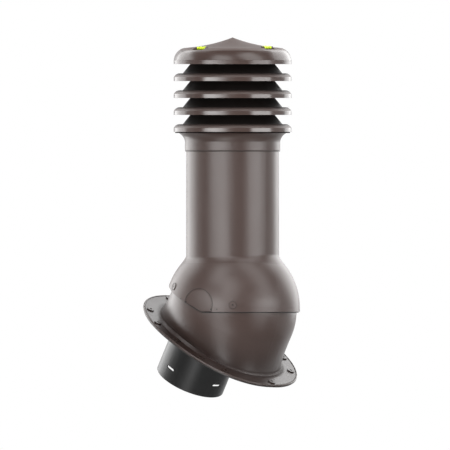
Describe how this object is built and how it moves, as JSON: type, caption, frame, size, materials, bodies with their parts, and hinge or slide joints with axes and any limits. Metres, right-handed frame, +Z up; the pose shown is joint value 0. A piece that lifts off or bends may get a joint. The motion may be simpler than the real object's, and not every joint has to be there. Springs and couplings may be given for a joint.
{
  "type": "roof vent",
  "caption": "Louvred roof vent pipe with a domed foot that tilts on a flanged ball base, level vials on its cap and a duct spigot below",
  "frame": {"origin": "middle of the base on the roof face, where the axis of the base meets the roof", "axes": "+Z up along the pipe, +X down the roof, +Y across the roof; the roof face slopes by 30 degrees"},
  "size_m": [0.2827, 0.2404, 0.6232],
  "materials": {
    "brown_plastic": "satin",
    "black_plastic": "satin",
    "black_rubber": "matt",
    "plain_steel": "zinc plated",
    "yellow_vial": "clear, tinted"
  },
  "bodies": {
    "base": {"ball_base": "brown_plastic", "roof_gasket": "black_rubber", "spigot_adapter": "black_plastic", "adapter_seal": "black_rubber", "adapter_screws": "plain_steel"},
    "stack": {"domed_pipe": "brown_plastic", "ball_seal": "black_rubber", "hood_base": "brown_plastic", "cap": "brown_plastic", "tie_rods": "plain_steel", "level_vial_left": "yellow_vial", "level_vial_right": "yellow_vial", "deflector_cone_1": "black_plastic", "deflector_cone_2": "black_plastic", "deflector_cone_3": "black_plastic", "deflector_cone_4": "black_plastic", "louvre_ring_1": "brown_plastic", "louvre_ring_2": "brown_plastic", "louvre_ring_3": "brown_plastic"}
  },
  "joints": [
    {"name": "pitch_tilt", "type": "hinge", "parent": "base", "child": "stack", "pos_m": [0.03175, 0, 0.05499], "axis": [0, 1, 0], "range_deg": [-7, 20]}
  ]
}
